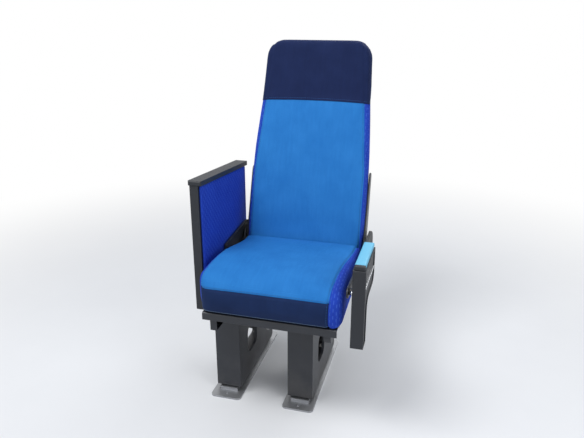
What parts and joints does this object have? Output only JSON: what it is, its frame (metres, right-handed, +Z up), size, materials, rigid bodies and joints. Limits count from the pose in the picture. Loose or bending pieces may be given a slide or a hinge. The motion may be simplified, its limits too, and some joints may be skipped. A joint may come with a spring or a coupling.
{
  "type": "minibus passenger seat",
  "caption": "Single high-back passenger seat on floor legs, with a reclining back, a padded armrest on the aisle side and an upholstered panel on the wall side.",
  "frame": {"origin": "on the floor, under the middle of the seat's box at rest", "axes": "+X to the aisle, +Y to the rear of the seat, +Z up; the passenger faces -Y"},
  "size_m": [0.58, 0.7093, 1.1369],
  "materials": {
    "face_cloth": "woven upholstery cloth, azure blue",
    "side_cloth": "woven upholstery cloth, royal blue",
    "cover_cloth": "sewn head cover, dark navy",
    "black_plastic": "moulded, fine grain, black",
    "pad_foam": "self-skinned foam, pale blue-grey",
    "bright_trim": "bright plated",
    "pin_steel": "zinc plated",
    "black_steel": "black powder coat",
    "frame_board": "plywood board behind the foam",
    "rail_aluminium": "mill finish, worn"
  },
  "bodies": {
    "base": {"floor_rail_wall": "rail_aluminium", "floor_rail_aisle": "rail_aluminium", "leg_wall": "black_steel", "leg_aisle": "black_steel", "cross_tube_front": "black_steel", "cross_tube_rear": "black_steel", "side_rail_wall": "black_steel", "side_rail_aisle": "black_steel", "cushion_pan": "black_steel", "cushion_panel": "face_cloth", "cushion_gusset_wall": "side_cloth", "cushion_gusset_aisle": "side_cloth", "hinge_plate_wall": "black_steel", "hinge_plate_aisle": "black_steel", "hinge_cover_wall": "black_plastic", "hinge_cover_aisle": "black_plastic", "hinge_pin_wall": "pin_steel", "hinge_pin_aisle": "pin_steel", "armrest_support_bar": "black_steel", "armrest_body": "black_plastic", "armrest_pad": "pad_foam", "armrest_trim_strip": "bright_trim", "recline_button": "bright_trim", "wall_panel_core": "black_plastic", "wall_panel_cloth": "side_cloth", "wall_panel_cap": "black_plastic", "wall_panel_bracket_front": "black_steel", "wall_panel_bracket_rear": "black_steel"},
    "backrest": {"back_panel": "face_cloth", "back_bolster_wall": "side_cloth", "back_bolster_aisle": "side_cloth", "back_board": "frame_board", "back_shell": "black_plastic", "head_cover": "cover_cloth", "back_arm_wall": "black_steel", "back_arm_aisle": "black_steel"}
  },
  "joints": [
    {"name": "recline", "type": "hinge", "parent": "base", "child": "backrest", "pos_m": [0, 0.1353, 0.441], "axis": [-1, 0, 0], "range_deg": [0, 20]}
  ]
}
